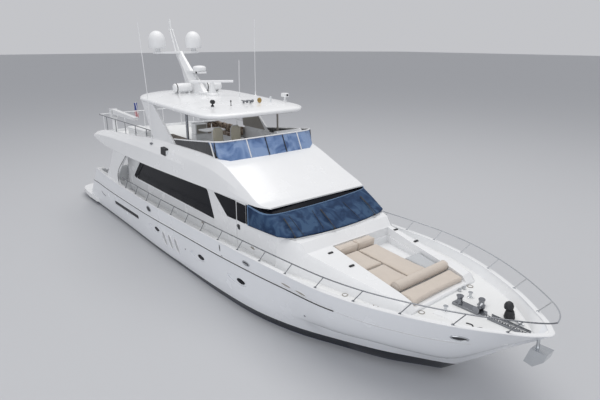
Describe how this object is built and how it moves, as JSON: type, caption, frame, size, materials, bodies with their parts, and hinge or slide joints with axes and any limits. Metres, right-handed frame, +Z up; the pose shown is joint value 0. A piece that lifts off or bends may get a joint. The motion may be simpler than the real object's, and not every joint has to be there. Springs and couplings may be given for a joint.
{
  "type": "motor yacht",
  "caption": "Raised-pilothouse motor yacht with a covered flybridge, hardtop, raked radar mast, side decks, foredeck sunpad, swim platform, shafts, propellers and rudders.",
  "frame": {"origin": "on the centreline at the waterline, amidships", "axes": "+X forward to the bow, +Y to port, +Z up"},
  "size_m": [29.3411, 6.34, 12.2748],
  "materials": {
    "gelcoat": "glossy white gelcoat",
    "glass": "dark tinted",
    "tint": "blue tinted",
    "steel": "polished stainless",
    "bronze": "satin",
    "cushion": "woven",
    "cream": "smooth",
    "brown": "smooth",
    "dark": "matte"
  },
  "bodies": {
    "boat": {"hull": "gelcoat", "swim_platform": "gelcoat", "cockpit_settee": "dark", "cockpit_table": "gelcoat", "house": "gelcoat", "windscreen": "glass", "upper_deck": "gelcoat", "fly_screen": "tint", "hardtop": "gelcoat", "mast": "gelcoat", "radome": "gelcoat", "radar_pedestal": "gelcoat", "helm_plinth": "gelcoat", "helm_console": "gelcoat", "port_lounge": "cream", "fly_settee": "brown", "fly_table": "gelcoat", "fly_bar": "gelcoat", "aft_rail": "steel", "davit_post": "gelcoat", "trunk": "gelcoat", "windlass": "steel", "anchor": "steel", "aerial": "gelcoat", "sunpad_back": "cushion", "sunpad_seat": "cushion", "sunpad_side": "cushion", "sunpad_roll": "cushion", "sunpad_front": "cushion", "side_glass_port": "glass", "side_glass_stbd": "glass", "side_wing_port": "gelcoat", "side_wing_stbd": "gelcoat", "arch_port": "gelcoat", "arch_stbd": "gelcoat", "satdome_port": "gelcoat", "satdome_stbd": "gelcoat", "liferaft_port": "gelcoat", "liferaft_stbd": "gelcoat", "side_rail_port": "steel", "side_rail_stbd": "steel", "strut_port": "bronze", "strut_stbd": "bronze"},
    "propeller_port": {"propeller_port": "bronze"},
    "rudder_port": {"rudder_port": "bronze"},
    "side_door_port": {"side_door_port": "gelcoat"},
    "saloon_door_port": {"saloon_door_port": "glass"},
    "transom_gate_port": {"transom_gate_port": "gelcoat"},
    "propeller_stbd": {"propeller_stbd": "bronze"},
    "rudder_stbd": {"rudder_stbd": "bronze"},
    "side_door_stbd": {"side_door_stbd": "gelcoat"},
    "saloon_door_stbd": {"saloon_door_stbd": "glass"},
    "transom_gate_stbd": {"transom_gate_stbd": "gelcoat"},
    "radar_array": {"radar_array": "gelcoat"},
    "searchlight": {"searchlight": "dark"},
    "helm_chair_stbd": {"helm_chair_stbd": "cream"},
    "helm_chair_centre": {"helm_chair_centre": "cream"},
    "davit_head": {"davit_head": "gelcoat"},
    "davit_boom": {"davit_boom": "gelcoat"}
  },
  "joints": [
    {"name": "propeller_spin_port", "type": "hinge", "parent": "boat", "child": "propeller_port", "pos_m": [-11.5, 1.15, -1.08], "axis": [0.9881, 0, 0.1538], "continuous": true},
    {"name": "propeller_spin_stbd", "type": "hinge", "parent": "boat", "child": "propeller_stbd", "pos_m": [-11.5, -1.15, -1.08], "axis": [0.9881, 0, 0.1538], "continuous": true},
    {"name": "rudder_turn_port", "type": "hinge", "parent": "boat", "child": "rudder_port", "pos_m": [-12.9, 1.15, -1.1], "axis": [0, 0, 1], "range_deg": [-35, 35]},
    {"name": "rudder_turn_stbd", "type": "hinge", "parent": "boat", "child": "rudder_stbd", "pos_m": [-12.9, -1.15, -1.1], "axis": [0, 0, 1], "range_deg": [-35, 35]},
    {"name": "side_door_hinge_port", "type": "hinge", "parent": "boat", "child": "side_door_port", "pos_m": [3.0775, 2.4675, 3.12], "axis": [0, 0, -1], "range_deg": [0, 50]},
    {"name": "side_door_hinge_stbd", "type": "hinge", "parent": "boat", "child": "side_door_stbd", "pos_m": [3.0775, -2.4675, 3.12], "axis": [0, 0, 1], "range_deg": [0, 50]},
    {"name": "saloon_door_slide_port", "type": "slide", "parent": "boat", "child": "saloon_door_port", "axis": [0, 1, 0], "range_m": [0, 0.75]},
    {"name": "saloon_door_slide_stbd", "type": "slide", "parent": "boat", "child": "saloon_door_stbd", "axis": [0, -1, 0], "range_m": [0, 0.75]},
    {"name": "transom_gate_hinge_port", "type": "hinge", "parent": "boat", "child": "transom_gate_port", "pos_m": [-11.82, 2.5797, 1.92], "axis": [0, 0, 1], "range_deg": [0, 88]},
    {"name": "transom_gate_hinge_stbd", "type": "hinge", "parent": "boat", "child": "transom_gate_stbd", "pos_m": [-11.82, -2.5797, 1.92], "axis": [0, 0, -1], "range_deg": [0, 88]},
    {"name": "radar_array_spin", "type": "hinge", "parent": "boat", "child": "radar_array", "pos_m": [-3.3, 0, 7.77], "axis": [0, 0, 1], "continuous": true},
    {"name": "searchlight_pan", "type": "hinge", "parent": "boat", "child": "searchlight", "pos_m": [-0.4, -1.66, 7.22], "axis": [0, 0, 1], "range_deg": [-170, 170]},
    {"name": "helm_chair_swivel_stbd", "type": "hinge", "parent": "boat", "child": "helm_chair_stbd", "pos_m": [-1.05, -0.95, 5.12], "axis": [0, 0, 1], "range_deg": [-90, 90]},
    {"name": "helm_chair_swivel_centre", "type": "hinge", "parent": "boat", "child": "helm_chair_centre", "pos_m": [-1.05, -0.05, 5.12], "axis": [0, 0, 1], "range_deg": [-90, 90]},
    {"name": "davit_slew", "type": "hinge", "parent": "boat", "child": "davit_head", "pos_m": [-11.15, -2, 5.42], "axis": [0, 0, 1], "range_deg": [-110, 60]},
    {"name": "davit_luff", "type": "hinge", "parent": "davit_head", "child": "davit_boom", "pos_m": [-11.15, -2, 5.82], "axis": [0, -1, 0], "range_deg": [0, 60]}
  ],
  "couplings": [
    {"joint": "rudder_turn_stbd", "follows": "rudder_turn_port", "ratio": 1}
  ]
}
